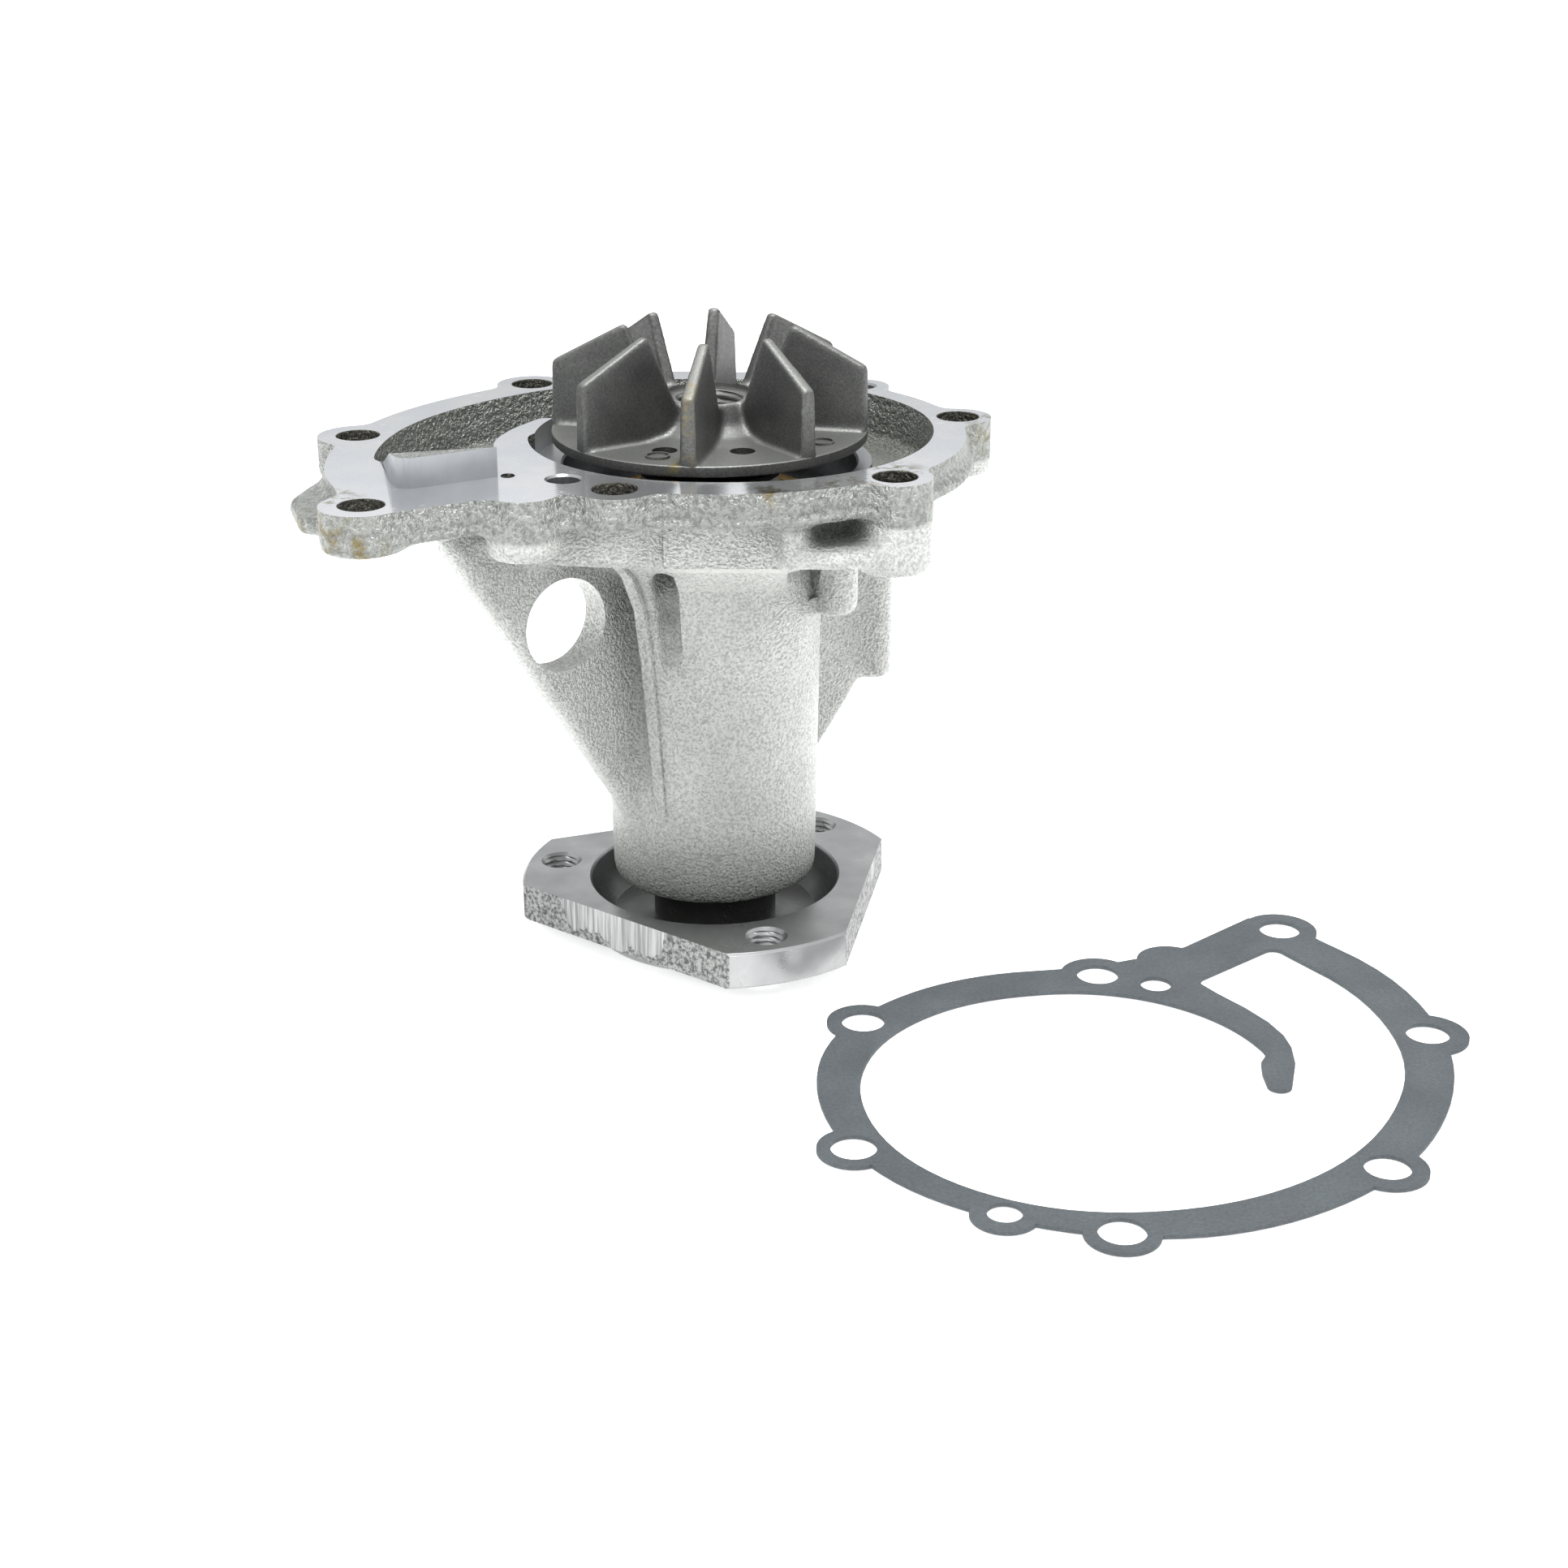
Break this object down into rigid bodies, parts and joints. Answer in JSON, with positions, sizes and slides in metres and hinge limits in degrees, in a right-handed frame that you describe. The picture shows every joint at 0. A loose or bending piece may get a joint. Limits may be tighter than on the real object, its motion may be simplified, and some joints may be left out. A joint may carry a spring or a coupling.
{
  "type": "water pump",
  "caption": "Engine water pump: cast volute housing with lobed flange, open vaned impeller, sealed shaft bearing, drive hub and loose gasket.",
  "frame": {"origin": "on the pump's axis, at the foot of the shaft, which is level with the foot of the drive hub that the pump stands on", "axes": "+Z along the pump's axis from the drive hub to the machined flange face that meets the engine; -Y towards the straight neck front, -X towards the outlet side of the volute"},
  "size_m": [0.2277, 0.1933, 0.129],
  "materials": {
    "cast_aluminium": "shot-blast casting with machined faces",
    "impeller_iron": "matt, fine grained",
    "hub_steel": "satin turned, rough sawn flats",
    "bearing_steel": "ground",
    "cage_nylon": "moulded",
    "rubber": "matt",
    "brass": "drawn sheet",
    "carbon": "lapped",
    "ceramic": "lapped",
    "gasket_fibre": "pressed fibre sheet"
  },
  "bodies": {
    "pump_body": {"housing": "cast_aluminium", "bearing_outer_ring": "bearing_steel", "bearing_seal_front": "rubber", "bearing_seal_rear": "rubber", "seal_cup": "brass", "seal_bellows": "rubber", "seal_spring": "bearing_steel", "seal_carbon_ring": "carbon"},
    "rotor": {"shaft": "bearing_steel", "impeller": "impeller_iron", "pulley_hub": "hub_steel", "slinger": "rubber", "seal_ceramic_ring": "ceramic", "seal_boot": "rubber"},
    "front_ball_row": {"cage_front": "cage_nylon", "ball_front_1": "bearing_steel", "ball_front_2": "bearing_steel", "ball_front_3": "bearing_steel", "ball_front_4": "bearing_steel", "ball_front_5": "bearing_steel", "ball_front_6": "bearing_steel", "ball_front_7": "bearing_steel", "ball_front_8": "bearing_steel"},
    "rear_ball_row": {"cage_rear": "cage_nylon", "ball_rear_1": "bearing_steel", "ball_rear_2": "bearing_steel", "ball_rear_3": "bearing_steel", "ball_rear_4": "bearing_steel", "ball_rear_5": "bearing_steel", "ball_rear_6": "bearing_steel", "ball_rear_7": "bearing_steel", "ball_rear_8": "bearing_steel"},
    "loose_gasket": {"gasket": "gasket_fibre"}
  },
  "joints": [
    {"name": "shaft_spin", "type": "hinge", "parent": "pump_body", "child": "rotor", "pos_m": [0, 0, 0.05], "axis": [0, 0, 1], "continuous": true},
    {"name": "front_balls_roll", "type": "hinge", "parent": "pump_body", "child": "front_ball_row", "pos_m": [0, 0, 0.024], "axis": [0, 0, 1], "continuous": true},
    {"name": "rear_balls_roll", "type": "hinge", "parent": "pump_body", "child": "rear_ball_row", "pos_m": [0, 0, 0.06], "axis": [0, 0, 1], "continuous": true},
    {"name": "gasket_lift", "type": "slide", "parent": "pump_body", "child": "loose_gasket", "axis": [0, 0, 1], "range_m": [0, 0.06]}
  ],
  "couplings": [
    {"joint": "front_balls_roll", "follows": "shaft_spin", "ratio": 0.353},
    {"joint": "rear_balls_roll", "follows": "shaft_spin", "ratio": 0.353}
  ]
}
